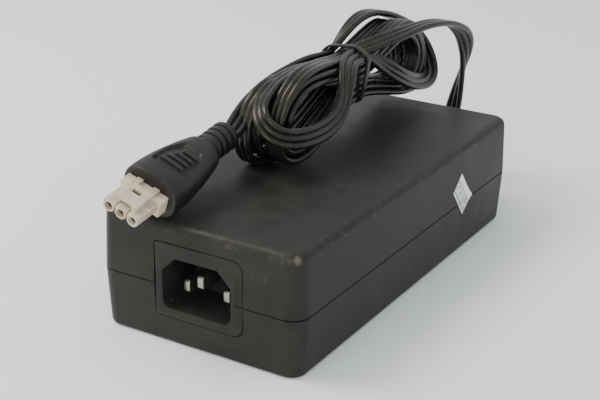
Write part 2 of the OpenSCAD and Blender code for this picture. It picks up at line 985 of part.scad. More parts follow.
// Moulded body: it swells behind its face, narrows towards the lead and ends in a ribbed neck
module plug_grip() {
    swell = grip_l * 0.3;
    back_w = neck_d + 3;
    back_h = neck_d + 1;
    groove = 0.7;
    ribs = 4;
    rib_pitch = neck_l / ribs;
    color(trim_black)
        in_plug_frame()
            difference() {
                union() {
                    hull() {
                        grip_section(0, grip_w - 1, grip_h - 1, 5);
                        grip_section(0.8, grip_w, grip_h, 5.5);
                        grip_section(swell, grip_w, grip_h, 5.5);
                    }
                    hull() {
                        grip_section(swell, grip_w, grip_h, 5.5);
                        grip_section(grip_l - 4, back_w + 1.4, back_h + 0.8, 5);
                        grip_section(grip_l, back_w, back_h, 5);
                    }
                    translate([0, grip_l, 0])
                        rotate([-90, 0, 0])
                            rotate_extrude()
                                polygon(concat(
                                    [[0, 0]],
                                    [for (k = [0 : ribs - 1], s = [
                                        [neck_d / 2 - groove, 0], [neck_d / 2 - groove, 0.28],
                                        [neck_d / 2, 0.36], [neck_d / 2, 1]
                                    ]) [s.x, (k + s.y) * rib_pitch]],
                                    [[0, neck_l]]
                                ));
                }
                connector_block();
                grip_recess();
            }
}

// Thumb recess in the top of the grip, with four cross ribs left standing
module grip_recess() {
    depth = 0.8;
    difference() {
        translate([0.3, swell_end(), grip_h / 2 - depth])
            linear_extrude(4)
                polygon([[-5, 0], [5, 0], [5.4, 6], [3.6, 12], [0, 14.5], [-3.6, 12], [-5.4, 6]]);
        for (k = [0 : 3])
            translate([-6, swell_end() + 2 + k * 2.4, 0])
                cube([12, 0.8, grip_h / 2 - 0.25]);
    }
}

function swell_end() = grip_l * 0.22;

// Ivory connector: three silos, a block with two shoulders and a latch frame over the top
module plug_housing() {
    top = silo_z + silo.y / 2;
    bottom = silo_z - silo.y / 2;
    cut = 1.0;
    color(ivory)
        in_plug_frame()
            translate([connector_x, 0, 0])
                difference() {
                    union() {
                        for (k = [-1 : 1])
                            translate([k * contact_pitch, 0, 0])
                                along_y(-connector_out, connector_out - 0.5)
                                    polygon([
                                        [-silo.x / 2, top], [-silo.x / 2, bottom + cut],
                                        [cut - silo.x / 2, bottom], [silo.x / 2 - cut, bottom],
                                        [silo.x / 2, bottom + cut], [silo.x / 2, top]
                                    ]);
                        along_y(-block_l, block_l)
                            translate([0, -0.3])
                                square([3 * contact_pitch + 1.6, 5.4], center = true);
                        translate([0, 0, -0.3])
                            along_y(0, connector_in)
                                square([3 * contact_pitch + 1.6, 5.4], center = true);
                        latch_frame();
                    }
                    for (k = [-1 : 1])
                        translate([k * contact_pitch, -connector_out - 1, silo_z])
                            rotate([-90, 0, 0])
                                cylinder(d = silo_bore, h = connector_out + connector_in + 2);
                }
}

// Latch frame: a plate on two legs, with a window for the mating catch
module latch_frame() {
    leg_w = 2;
    difference() {
        union() {
            translate([-latch_w / 2, -latch_out, latch_z - latch_t])
                cube([latch_w, latch_out - 2.6, latch_t]);
            for (s = [-1, 1])
                translate([s * (latch_w - leg_w) / 2 - leg_w / 2, -latch_out, latch_z - latch_t - 1.2])
                    cube([leg_w, latch_out, latch_t + 1.2]);
        }
        translate([-1.6, -6.4, latch_z - 3])
            cube([3, 1.7, 4]);
    }
}

// Crimped contacts, one in each silo
module plug_contacts() {
    color(tinned)
        in_plug_frame()
            for (k = [-1 : 1])
                translate([connector_x + k * contact_pitch, 1.2 - connector_out, silo_z])
                    rotate([-90, 0, 0])
                        difference() {
                            cylinder(d = silo_bore, h = connector_out + 2);
                            translate([0, 0, -1])
                                cylinder(d = 1.6, h = 9);
                        }
}

lower_shell();
upper_shell();
rating_label();
seal_sticker();
inlet_housing();
line_blade();
neutral_blade();
earth_blade();
line_wire();
neutral_wire();
earth_wire();
insulation_sheet();
circuit_board();
heat_spreader();
fuse();
varistor();
inrush_thermistor();
x_capacitor();
choke_core();
choke_windings();
bridge_rectifier();
bulk_capacitor();
primary_heatsink();
switching_transistor();
controller_ic();
transformer_core();
transformer_bobbin();
transformer_winding();
y_capacitor();
optocoupler();
secondary_heatsink();
output_rectifier();
heatsink_screws();
output_choke();
output_capacitors();
output_wires();
lead_gland();
lead_tail();
lead_hank();
hank_tie();
lead_front();
plug_grip();
plug_housing();
plug_contacts();
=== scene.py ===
# %% [markdown]
# # A mains power adapter and its lead
# The adapter is a black moulded case with a mains inlet in its front wall. Its output lead is a
# flat three-core cord, folded into a hank that lies on the case and ends in a small ivory
# connector. The case, the inlet and the inner parts come from the CAD frame. The lead, the
# moulded grip, the tie and the seal are modelled here, where their finer shape matters.

# %% The frame and the tools
import math

import bmesh
import bpy
import numpy as np
from mathutils import Euler, Matrix, Vector


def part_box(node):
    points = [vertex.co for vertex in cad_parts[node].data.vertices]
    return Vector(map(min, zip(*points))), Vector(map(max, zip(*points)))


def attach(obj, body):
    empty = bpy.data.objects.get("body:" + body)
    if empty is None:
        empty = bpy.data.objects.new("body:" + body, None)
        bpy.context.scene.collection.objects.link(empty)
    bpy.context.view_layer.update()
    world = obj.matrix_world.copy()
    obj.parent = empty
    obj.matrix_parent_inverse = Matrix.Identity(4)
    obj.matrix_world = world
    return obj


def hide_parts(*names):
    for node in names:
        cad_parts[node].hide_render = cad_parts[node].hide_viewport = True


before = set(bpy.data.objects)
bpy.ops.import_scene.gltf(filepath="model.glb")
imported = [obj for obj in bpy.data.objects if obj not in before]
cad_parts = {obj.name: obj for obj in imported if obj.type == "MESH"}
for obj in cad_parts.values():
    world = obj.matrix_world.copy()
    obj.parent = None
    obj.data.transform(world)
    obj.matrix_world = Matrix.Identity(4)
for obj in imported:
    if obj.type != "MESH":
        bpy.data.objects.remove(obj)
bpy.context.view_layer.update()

bpy.ops.object.select_all(action="DESELECT")
MM = 0.001
print("CAD nodes:", len(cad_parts))

# %% [markdown]
# ## The camera
# The adapter is seen from its front right and a little above, with a long lens, so the upright
# edges stay nearly parallel. The place and the three axes are set directly, because a small
# lean of the horizon is part of the view.

# %% Camera
AZIMUTH, ELEVATION, LEAN = (math.radians(a) for a in (30.925, 22.293, -0.8756))
CAMERA_AT, SENSOR_WIDTH, LENS = (0.196, -0.34204, 0.18455), 36, 77.36
towards = Vector((
    math.sin(AZIMUTH) * math.cos(ELEVATION),
    -math.cos(AZIMUTH) * math.cos(ELEVATION),
    math.sin(ELEVATION),
))
level = (-towards).cross(Vector((0, 0, 1))).normalized()
upright = level.cross(-towards)
right = level * math.cos(LEAN) - upright * math.sin(LEAN)
up = level * math.sin(LEAN) + upright * math.cos(LEAN)
bpy.ops.object.camera_add(location=CAMERA_AT)
camera = bpy.context.object
camera.rotation_euler = Matrix((right, up, towards)).transposed().to_euler()
camera.data.sensor_width = SENSOR_WIDTH
camera.data.lens = LENS
bpy.context.scene.camera = camera
print("camera looks along", [round(v, 3) for v in -towards])

# %% [markdown]
# ## The lead's line
# The whole lead is one flat cord, 6.6 mm wide and 2.2 mm thick. It leaves the rear of the case,
# turns half round as it rises, and arches forward over the case to the hank. A hank is folded
# by laying the cord to and fro, so its line is a list of passes through the tie with a bend
# before and behind. The two free stretches follow the CAD route. Each point also says which way
# the cord's width lies, because a flat cord bends only across its thin side.

# %% Free stretches
LEAD_W, LEAD_T = 6.6, 2.2
PLUG_AT = Vector((-16.2, -71.8, 46.4))
PLUG_TURN = Euler([math.radians(a) for a in (9.6, 21, 3)], "XYZ").to_matrix()
NECK_END = 40
tail = [
    ((0, 86.4, 18.8), (-1, 0, 0)), ((0, 88.8, 18.8), (-1, 0, 0)), ((0, 93.0, 19.8), (-1, 0, 0)),
    ((0.4, 96.2, 23.0), (-1, 0, 0)), ((1.1, 97.7, 27.8), (-1, 0.1, 0)),
    ((2.3, 98.0, 35), (-0.85, 0.5, 0)), ((4, 97.5, 43), (-0.5, 0.85, 0)),
    ((6, 96, 51), (0.1, 1, 0)), ((7.5, 90, 60), (0.8, 0.4, 0.4)), ((7, 80, 66.5), (1, 0, 0)),
    ((6, 68, 69.5), (1, 0, 0)), ((4.5, 57, 70.2), (1, 0, 0)), ((2.6, 47, 69.6), (1, 0, -0.2)),
    ((-1.8, 37.5, 67.8), (0.95, 0, -0.2)),
]
front = [((-17.6, 20, 62.2), (0, 0, -1)), ((-18.9, 9, 61), (0.35, 0, -0.93)),
         ((-19.4, -3, 59.5), (0.55, 0, -0.83)), ((-18.8, -14, 57.2), (0.7, 0, -0.7)),
         ((-17, -24, 54.8), (0.88, 0.05, -0.45))]
for back in (NECK_END + 4, NECK_END + 2, NECK_END):
    front.append((tuple(PLUG_AT + PLUG_TURN @ Vector((0, back, 0))), (0.93, 0.05, -0.36)))
print("free stretches:", len(tail), "and", len(front), "points")

# %% Passes through the tie
TIE = Vector((-8.5, 27.5, 56.8))
COLUMN, ROW = 3.35, 2.35
passes = {"over": (1.0, 3.5 * ROW, 0), "near shoulder": (5.2, 8.6, 28),
          "far shoulder": (-7.7, 5.4, -60)}
for row in range(6):
    height = ROW * (2.5 - row)
    passes["near %d" % row] = (COLUMN, height, 0)
    passes["far %d" % row] = (-COLUMN, height, 0)


def through(name, y):
    """A point of a pass through the tie, and the way the width lies there."""
    x, z, turn = passes[name]
    a = math.radians(turn)
    return (TIE.x + x, y, TIE.z + z), (math.cos(a), 0, -math.sin(a))


BEND_POINTS, BEND_START, OUTER_RISE = 5, 8, 13


def bend(middle, out, rise, turn, side, droop):
    """Points round one end of a loop, down round the front or up round the rear, drooping."""
    a = math.radians(turn)
    line = []
    for k in range(BEND_POINTS):
        b = math.radians(BEND_START + (180 - 2 * BEND_START) * k / (BEND_POINTS - 1))
        reach, height = math.sin(b) * out, -side * math.cos(b) * rise
        place = (middle[0] - side * reach * math.sin(a), middle[1] + side * reach * math.cos(a),
                 middle[2] + height - droop * reach * rise / OUTER_RISE)
        line.append((place, (math.cos(a), math.sin(a), 0)))
    return line


print("passes through the tie:", len(passes))

# %% [markdown]
# Six loops lie nearly upright, three beside three, each three one inside another. A seventh is
# skew: it crosses over the front of the others and comes back along their near side, and behind
# the tie it rises into the tall open loop. Each loop's row says by which pass it goes forward,
# its front bend, by which pass it comes back, and its rear bend. A bend has its middle, its reach,
# half its height and its turn in degrees. A pass has its points 3 or 5 mm from the tie.

# %% Loops
FRONT, REAR = -1, 1
FRONT_DROOP, REAR_DROOP = 0.34, 0.40
INNER_REACH, OUTER_REACH = 3, 5
loops = [
    ("over", ((-3.9, -7.5, 54.6), 14.6, 13.6, -9), "near 5", ((-5.0, 62.0, 57.3), 17.5, 13, 3)),
    ("near 0", ((-5.0, -7.5, 54.2), 12.4, 11.2, -9), "near 4", ((-5.0, 62.5, 57.4), 13.4, 10.7, 0)),
    ("near 1", ((-4.8, -7, 53.8), 9.8, 8.9, -6), "near 3", ((-4.6, 61.5, 57.4), 9.2, 8.4, -3)),
    ("near 2", ((-12.2, -9.5, 52.6), 8.8, 8.6, -4), "far 3", ((-11.8, 60, 57.0), 9.2, 8.4, -4)),
    ("far 2", ((-12.8, -11, 52.3), 11.0, 10.5, -6), "far 4", ((-11.9, 61, 57.0), 13.4, 10.7, 2)),
    ("far 1", ((-13.4, -12.5, 52.1), 13.2, 12.2, -9), "far 5", ((-11.8, 60.0, 57.0), 17, 12.8, 5)),
]
skew = [
    ((-12.2, 12, 64.0), (1, 0.1, 0)), ((-12.4, 2, 65.0), (0.97, 0.2, 0.1)),
    ((-12.2, -8, 64.8), (0.9, 0.4, 0.2)), ((-11.4, -17, 62.6), (0.75, 0.5, 0.4)),
    ((-9.2, -25.0, 59.0), (0.45, 0.4, 0.8)), ((-5.2, -28.0, 55.4), (0.1, 0.2, 1)),
    ((-0.4, -26.6, 52.4), (-0.1, 0.1, 1)), ((2.8, -20.0, 50.8), (-0.25, 0, 1)),
    ((4.0, -11.0, 50.2), (-0.25, 0, 1)), ((3.8, -1.5, 50.8), (-0.25, -0.3, 1)),
    ((3.2, 5.6, 53.8), (-0.2, -0.8, 0.6)), ((2.4, 8.6, 58.6), (-0.2, -1, 0.1)),
    ((1.2, 11.8, 62.9), (-0.5, -0.7, 0.4)), ((-1.8, 17.6, 65.4), (-0.9, -0.2, 0.3)),
]
tall = [
    ((-1.6, 37.5, 61.6), (-0.5, 0, 0.85)), ((1.0, 46, 55.8), (-0.3, 0, 1)),
    ((1.8, 56, 50.6), (-0.3, 0, 1)), ((1.6, 66, 47.4), (-0.5, 0, 0.85)),
    ((0.8, 74.4, 46.4), (-0.75, -0.3, 0.5)), ((-1.6, 80.6, 48.4), (-0.95, -0.4, 0.2)),
    ((-5.0, 83.4, 53.2), (-1, -0.2, 0)), ((-8.2, 82.6, 59.2), (-1, -0.1, 0)),
    ((-10.6, 77.6, 64.6), (-1, 0, 0)), ((-12.0, 69.0, 69.0), (-1, 0, 0)),
    ((-12.7, 59.0, 72.4), (-1, -0.1, 0)), ((-13.4, 49.0, 73.8), (-0.97, -0.1, -0.1)),
    ((-14.2, 40.8, 71.4), (-0.88, 0.2, -0.3)), ((-15.2, 34.2, 66.6), (-0.7, 0.35, -0.55)),
]
line = list(tail)
for ahead, nose, behind, heel in loops:
    line += [through(ahead, TIE.y + INNER_REACH), through(ahead, TIE.y - OUTER_REACH)]
    line += bend(*nose, FRONT, FRONT_DROOP)
    line += [through(behind, TIE.y - OUTER_REACH), through(behind, TIE.y + OUTER_REACH)]
    line += bend(*heel, REAR, REAR_DROOP)
line += [through("far 0", TIE.y + INNER_REACH), through("far 0", TIE.y - OUTER_REACH)] + skew
line += [through("near shoulder", TIE.y + side * INNER_REACH) for side in (FRONT, REAR)] + tall
line += [through("far shoulder", TIE.y)] + front
print("points along the lead:", len(line))

# %% [markdown]
# A smooth curve goes through every point. The centripetal form of the Catmull-Rom curve doesn't
# overshoot where points are close, which the plain one does. A few rounds of smoothing take out
# small kinks, as the cord's own stiffness would. The ends are held where they are.

# %% Smooth centreline
RING_SPACING, SMOOTHINGS, HELD_ENDS = 1.6, 9, 4


def smooth_line(stations):
    """Ring centres and width directions along the smooth curve through the stations."""
    at = np.array([s[0] for s in stations], float)
    wide = np.array([s[1] for s in stations], float)
    for i in range(1, len(wide)):
        if wide[i] @ wide[i - 1] < 0:
            wide[i] = -wide[i]
    at = np.vstack([2 * at[0] - at[1], at, 2 * at[-1] - at[-2]])
    centres, widths = [], []
    for i in range(1, len(at) - 2):
        a, b, c, d = at[i - 1:i + 3]
        t1 = np.linalg.norm(b - a) ** 0.5
        t2 = t1 + np.linalg.norm(c - b) ** 0.5
        t3 = t2 + np.linalg.norm(d - c) ** 0.5
        count = max(2, math.ceil(np.linalg.norm(c - b) / RING_SPACING))
        for k in range(count):
            share = k / count
            t = t1 + (t2 - t1) * share
            ab = a + (b - a) * t / t1
            bc = b + (c - b) * (t - t1) / (t2 - t1)
            cd = c + (d - c) * (t - t2) / (t3 - t2)
            abc, bcd = ab + (bc - ab) * t / t2, bc + (cd - bc) * (t - t1) / (t3 - t1)
            centres.append(abc + (bcd - abc) * (t - t1) / (t2 - t1))
            eased = share * share * (3 - 2 * share)
            widths.append(wide[i - 1] * (1 - eased) + wide[i] * eased)
    centres, widths = np.array(centres + [at[-2]]), np.array(widths + [wide[-1]])
    for _ in range(SMOOTHINGS):
        moved = (centres[:-2] + 2 * centres[1:-1] + centres[2:]) / 4
        centres[HELD_ENDS:-HELD_ENDS] = moved[HELD_ENDS - 1:1 - HELD_ENDS]
        widths[1:-1] = (widths[:-2] + 2 * widths[1:-1] + widths[2:]) / 4
    return centres, widths


centres, widths = smooth_line(line)
lead_length = np.linalg.norm(np.diff(centres, axis=0), axis=1).sum()
print("lead: %d rings, %.0f mm long" % (len(centres), lead_length))

# %% [markdown]
# The cross-section is three round cores side by side with shallow valleys between them. It is
# swept along the line as a closed tube. A curve object with a bevel would turn as it liked in
# the bends, so the rings are placed by the width directions instead.

# %% Cross-section and sweep
VALLEY = 0.42


def arc(middle, r, angles):
    """Points on a circle about a place across the cord."""
    return [(middle + r * math.cos(a), r * math.sin(a)) for a in map(math.radians, angles)]


def three_core_outline(width, thickness):
    """Outline of the flat cord, once round, as (across, through) pairs."""
    r = thickness / 2
    pitch = (width - thickness) / 2
    valley = (pitch / 2, VALLEY * r)
    right_core = arc(pitch, r, range(-130, 131, 26))
    top = [valley] + arc(0, r, (50, 76, 104, 130)) + [(-valley[0], valley[1])]
    return right_core + top + [(-x, -y) for x, y in right_core] + [(-x, -y) for x, y in top]


def sweep(name, centres, widths, outline):
    """A closed tube of one outline along the centres."""
    along = np.gradient(centres, axis=0)
    along /= np.linalg.norm(along, axis=1)[:, None]
    across = widths - along * (widths * along).sum(1)[:, None]
    across /= np.linalg.norm(across, axis=1)[:, None]
    thick = np.cross(along, across)
    x, z = (np.array(values)[None, :, None] for values in zip(*outline))
    rings = centres[:, None] + across[:, None] * x + thick[:, None] * z
    sides = len(outline)
    faces = []
    for i in range(len(centres) - 1):
        for k in range(sides):
            a, b = i * sides + k, i * sides + (k + 1) % sides
            faces.append((a, b, b + sides, a + sides))
    last = (len(centres) - 1) * sides
    faces += [tuple(range(sides))[::-1], tuple(last + k for k in range(sides))]
    mesh = bpy.data.meshes.new(name)
    mesh.from_pydata((rings.reshape(-1, 3) * MM).tolist(), [], faces)
    piece = bpy.data.objects.new(name, mesh)
    bpy.context.scene.collection.objects.link(piece)
    return piece


def select_only(piece):
    bpy.ops.object.select_all(action="DESELECT")
    piece.select_set(True)
    bpy.context.view_layer.objects.active = piece


def face_outwards(piece):
    """Makes every face of a closed mesh look outwards."""
    select_only(piece)
    bpy.ops.object.mode_set(mode="EDIT")
    bpy.ops.mesh.select_all(action="SELECT")
    bpy.ops.mesh.normals_make_consistent(inside=False)
    bpy.ops.object.mode_set(mode="OBJECT")


def smooth_shading(piece, angle):
    select_only(piece)
    bpy.ops.object.shade_smooth_by_angle(angle=math.radians(angle))


lead = sweep("flat_lead", centres, widths, three_core_outline(LEAD_W, LEAD_T))
face_outwards(lead)
smooth_shading(lead, 60)
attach(lead, "root")
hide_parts("lead_tail", "lead_hank", "lead_front")
print("lead mesh:", len(lead.data.polygons), "faces")

# %% [markdown]
# ## Edges of the moulded parts
# The CAD meshes have the right sizes, but their triangles are loose, and most small parts have
# sharp edges. Real mouldings have small rounded edges that catch the light. Each visible part is
# therefore copied, its triangles are merged into whole faces, and most small parts get a bevel.
# The copy then stands for the CAD node.

# %% A finer copy of a CAD part
FLAT_ENOUGH, BEVELLED_FROM, SMOOTH_UP_TO = 0.3, 35, 30


def round_edges(piece, width, angle):
    """Bevels a piece's edges that are sharper than the angle, with two segments."""
    rounding = piece.modifiers.new("rounded edges", "BEVEL")
    rounding.width = width * MM
    rounding.segments = 2
    rounding.limit_method = "ANGLE"
    rounding.angle_limit = math.radians(angle)
    bpy.ops.object.modifier_apply(modifier=rounding.name)


def finer(node, name, bevel=0.0):
    """Copies a CAD node, merges its faces, rounds its edges and smooths its shading."""
    piece = bpy.data.objects.new(name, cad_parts[node].data.copy())
    bpy.context.scene.collection.objects.link(piece)
    select_only(piece)
    piece.data.materials.clear()
    bpy.ops.object.mode_set(mode="EDIT")
    bpy.ops.mesh.select_all(action="SELECT")
    bpy.ops.mesh.remove_doubles(threshold=0.002 * MM)
    bpy.ops.mesh.dissolve_limited(angle_limit=math.radians(FLAT_ENOUGH))
    bpy.ops.object.mode_set(mode="OBJECT")
    if piece.data.has_custom_normals:
        bpy.ops.mesh.customdata_custom_splitnormals_clear()
    if bevel:
        round_edges(piece, bevel, BEVELLED_FROM)
    smooth_shading(piece, SMOOTH_UP_TO)
    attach(piece, "root")
    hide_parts(node)
    print(name, len(piece.data.polygons), "faces")
    return piece


upper = finer("upper_shell", "case_upper")
lower = finer("lower_shell", "case_lower")
inlet = finer("inlet_housing", "mains_inlet", 0.2)
gland = finer("lead_gland", "case_gland", 0.15)
blades = [finer(n, "pin_" + n.split("_")[0], 0.12)
          for n in ("line_blade", "neutral_blade", "earth_blade")]
contacts = finer("plug_contacts", "connector_contacts")
connector = finer("plug_housing", "connector_body", 0.14)

# %% [markdown]
# ## The moulded grip
# The grip is the soft body over the connector's wires. It is oval at its face, swells a little,
# narrows towards the lead and ends in a ribbed neck that bends with the cord. One ring is drawn
# out from section to section, as by hand, and a subdivision surface rounds it.

# %% Grip body
SIDES = 32


def oval(half_w, half_h, power):
    """Corners of an oval ring, evenly spread by angle."""
    ring = []
    for k in range(SIDES):
        a = 2 * math.pi * k / SIDES
        c, s = math.cos(a), math.sin(a)
        ring.append((half_w * math.copysign(abs(c) ** (2 / power), c),
                     half_h * math.copysign(abs(s) ** (2 / power), s)))
    return ring


def shape_ring(obj, y, corners):
    """Moves the selected ring's corners to an outline at a distance along the grip."""
    mesh = bmesh.from_edit_mesh(obj.data)
    ring = sorted((v for v in mesh.verts if v.select), key=lambda v: math.atan2(v.co.z, v.co.x))
    corners = sorted(corners, key=lambda c: math.atan2(c[1], c[0]))
    for v, (x, z) in zip(ring, corners):
        v.co = Vector((x, y, z)) * MM
    bmesh.update_edit_mesh(obj.data)


# Each section: distance along the grip, half width, half height, power of the oval.
sections = [
    (0.0, 9.0, 6.4, 2.7), (0.1, 9.2, 6.6, 2.7), (0.7, 9.35, 6.75, 2.7), (3, 9.45, 6.8, 2.7),
    (6, 9.4, 6.8, 2.6), (9, 9.2, 6.65, 2.6), (12, 8.9, 6.45, 2.5), (15, 8.5, 6.2, 2.5),
    (18, 8.0, 5.95, 2.4), (21, 7.4, 5.65, 2.4), (24, 6.75, 5.3, 2.3), (26.2, 6.3, 5.05, 2.2),
    (27, 6.0, 4.9, 2.1), (27.3, 4.2, 4.2, 2), (28.2, 4.0, 4.0, 2),
]
RIB = [(0, 4.55, 4.5), (0.15, 4.85, 4.8), (1.6, 4.8, 4.75), (1.75, 4.5, 4.45), (1.9, 3.7, 3.7),
       (2.7, 3.65, 3.65)]
RIB_PITCH = 2.9
rib_y = 28.5
while rib_y < NECK_END - RIB_PITCH / 2:
    sections += [(rib_y + y, half_w, half_h, 2) for y, half_w, half_h in RIB]
    rib_y += RIB_PITCH
sections += [(NECK_END - 0.3, 4.0, 3.0, 2.2), (NECK_END, 3.8, 1.9, 2.5)]

# Where the thumb hollow goes, each stretch between two sections is cut in three.
dense = [sections[0]]
for near, far in zip(sections, sections[1:]):
    parts = 3 if 2 < far[0] < 24.5 else 1
    for k in range(1, parts + 1):
        dense.append(tuple(n + (f - n) * k / parts for n, f in zip(near, far)))

bpy.ops.mesh.primitive_circle_add(vertices=SIDES, radius=9 * MM, fill_type="NGON",
                                  rotation=(math.radians(90), 0, 0))
grip = bpy.context.object
grip.name = "moulded_grip"
bpy.ops.object.transform_apply(rotation=True)
bpy.ops.object.mode_set(mode="EDIT")
bpy.ops.mesh.select_all(action="SELECT")
shape_ring(grip, dense[0][0], oval(*dense[0][1:]))
for y, half_w, half_h, power in dense[1:]:
    bpy.ops.mesh.extrude_region_move(TRANSFORM_OT_translate={"value": (0, MM, 0)})
    shape_ring(grip, y, oval(half_w, half_h, power))
bpy.ops.object.mode_set(mode="OBJECT")
rounding = grip.modifiers.new("soft moulding", "SUBSURF")
rounding.levels = rounding.render_levels = 2
bpy.ops.object.modifier_apply(modifier=rounding.name)
print("grip:", len(grip.data.polygons), "faces")

# %% [markdown]
# The top of the grip has a shallow shield-shaped hollow for the thumb, with four ridges left
# standing across it. The mesh is dense enough here to press the hollow in by moving its points.

# %% Thumb hollow


def step(value, start, end):
    """0 before start, 1 after end, and smooth between them."""
    t = min(max((value - start) / (end - start), 0), 1)
    return t * t * (3 - 2 * t)


HOLLOW_FROM, HOLLOW_TO, HOLLOW_DEPTH = 4.6, 21.5, 1.1
TOP_FROM, HALF_SHIELD, NARROWS_FROM, NARROWS_BY = 2.5, 5.9, 14, 2.6
RIDGES, FIRST_RIDGE, RIDGE_PITCH, RIDGE_LEFT = 4, 9.6, 2.5, 0.95
for v in grip.data.vertices:
    x, y, z = v.co / MM
    if z < TOP_FROM:
        continue
    start = HOLLOW_FROM + 2.2 * abs(x) / 5.5
    side = HALF_SHIELD - NARROWS_BY * step(y, NARROWS_FROM, HOLLOW_TO)
    inside = step(y, start, start + 0.5) * (1 - step(y, HOLLOW_TO - 3, HOLLOW_TO))
    inside *= 1 - step(abs(x), side - 0.8, side)
    ridge = 0
    for k in range(RIDGES):
        middle = FIRST_RIDGE + RIDGE_PITCH * k
        lane = 1 - step(abs(y - middle), 0.25, 0.6)
        lane *= step(x, -4.6 + 0.9 * k, -4.0 + 0.9 * k) * (1 - step(x, 4.0, 4.6))
        ridge = max(ridge, lane)
    v.co.z -= HOLLOW_DEPTH * inside * (1 - RIDGE_LEFT * ridge) * MM
place_in_plug = Matrix.Translation(PLUG_AT * MM) @ PLUG_TURN.to_4x4()
grip.data.transform(place_in_plug)
face_outwards(grip)
smooth_shading(grip, 50)
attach(grip, "root")
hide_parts("plug_grip")
print("grip at", [round(v / MM, 1) for v in place_in_plug.translation])

# %% [markdown]
# ## The tie
# A thin plastic band holds the hank at its waist. Its ring is the tight outline of the strands
# that pass through it, taken from the lead's own mesh.

# %% Tie band


def thicken(piece, thickness):
    """Gives a sheet a thickness, half to each side."""
    wall = piece.modifiers.new("wall", "SOLIDIFY")
    wall.thickness = thickness * MM
    wall.offset = 0
    bpy.ops.object.modifier_apply(modifier=wall.name)


BAND_W, BAND_T, BAND_SIDES, BAND_SLANT = 2.2, 0.8, 64, 1.2
waist = np.array([v.co / MM for v in lead.data.vertices if abs(v.co.y / MM - TIE.y) < BAND_W])
around = np.arange(BAND_SIDES) * 2 * math.pi / BAND_SIDES
towards_wall = np.stack([np.cos(around), np.sin(around)])
support = ((waist[:, (0, 2)] - (TIE.x, TIE.z)) @ towards_wall).max(axis=0) + BAND_T / 2
ring = []
for a in around:
    ahead = np.cos(a - around)
    reach = (support[ahead > 0.1] / ahead[ahead > 0.1]).min()
    ring.append((TIE.x + reach * math.cos(a), TIE.y - BAND_W / 2 + BAND_SLANT * math.sin(a),
                 TIE.z + reach * math.sin(a)))
bpy.ops.mesh.primitive_circle_add(vertices=BAND_SIDES, radius=0.01)
tie = bpy.context.object
tie.name = "hank_band"
for v, p in zip(tie.data.vertices, ring):
    v.co = Vector(p) * MM
bpy.ops.object.mode_set(mode="EDIT")
bpy.ops.mesh.select_all(action="SELECT")
bpy.ops.mesh.extrude_region_move(TRANSFORM_OT_translate={"value": (0, BAND_W * MM, 0)})
bpy.ops.object.mode_set(mode="OBJECT")
thicken(tie, BAND_T)
round_edges(tie, 0.25, 30)
face_outwards(tie)
smooth_shading(tie, 40)
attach(tie, "root")
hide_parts("hank_tie")
print("tie:", len(tie.data.polygons), "faces")

# %% [markdown]
# ## The seal
# A small paper seal is stuck on the right side, turned on its corner, across the seam between
# the two halves. Paper is thin, so it takes the wall's shape, dips a little over the seam and
# lifts at one corner.

# %% Seal
SEAL_LONG, SEAL_SHORT, SEAL_T, SEAL_TURN = 12.6, 8.2, 0.12, 52
seal_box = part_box("seal_sticker")
seal_middle = (seal_box[0] + seal_box[1]) / 2
bpy.ops.mesh.primitive_grid_add(x_subdivisions=24, y_subdivisions=24, size=MM)
seal = bpy.context.object
seal.name = "paper_seal"
seal.data.uv_layers[0].name = "seal"
upright_on_wall = Matrix(((0, 0, 1), (SEAL_LONG, 0, 0), (0, SEAL_SHORT, 0))).to_4x4()
seal.data.transform(Matrix.Rotation(math.radians(-SEAL_TURN), 4, "X") @ upright_on_wall)
SEAM_Z, WALL_X, WALL_LEAN = 18.8, 35.29, 0.6 / 19.7
SEAM_DIP, SEAM_HALF, CORNER_LIFT = 0.22, 0.5, 0.5
for v in seal.data.vertices:
    z = seal_middle.z / MM + v.co.z / MM
    dip = SEAM_DIP * math.exp(-((z - SEAM_Z) / SEAM_HALF) ** 2)
    lift = CORNER_LIFT * step(v.co.y / MM - 1.5, 2.6, 5.5)
    lean = WALL_LEAN * max(z - SEAM_Z, 0)
    v.co.x = (WALL_X - lean - dip + lift) * MM
    v.co.y += seal_middle.y
    v.co.z += seal_middle.z
thicken(seal, SEAL_T)
face_outwards(seal)
smooth_shading(seal, 40)
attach(seal, "root")
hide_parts("seal_sticker")
print("seal at", [round(v / MM, 1) for v in seal_middle])

# %% [markdown]
# ## Effects that finishes share
# Fine grain is the texture of a spark-eroded mould. Edge wear is where handling has polished a
# moulded box along its edges. The corners are lighter still, partly from wear and partly as a
# painted highlight where the light catches them. Dust lies on what faces up, as small pale
# specks. Hairline scratches run one way, in a few patches.

# %% Node helpers


def new_node(tree, kind, **settings):
    made = tree.nodes.new(kind)
    for name, value in settings.items():
        setattr(made, name, value)
    return made


def feed(tree, socket, value):
    """Links a socket, or sets its number."""
    if isinstance(value, bpy.types.NodeSocket):
        tree.links.new(value, socket)
    else:
        socket.default_value = value


def calc(tree, operation, *values):
    made = new_node(tree, "ShaderNodeMath", operation=operation)
    for socket, value in zip(made.inputs, values):
        feed(tree, socket, value)
    return made.outputs[0]


def remap(tree, value, low, high, to_low=0.0, to_high=1.0):
    made = new_node(tree, "ShaderNodeMapRange", interpolation_type="SMOOTHSTEP")
    for name, v in (("Value", value), ("From Min", low), ("From Max", high),
                    ("To Min", to_low), ("To Max", to_high)):
        feed(tree, made.inputs[name], v)
    return made.outputs["Result"]


def noise(tree, vector, scale, detail=2.0, roughness=0.5):
    made = new_node(tree, "ShaderNodeTexNoise")
    feed(tree, made.inputs["Vector"], vector)
    for name, v in (("Scale", scale), ("Detail", detail), ("Roughness", roughness)):
        feed(tree, made.inputs[name], v)
    return made.outputs["Fac"]


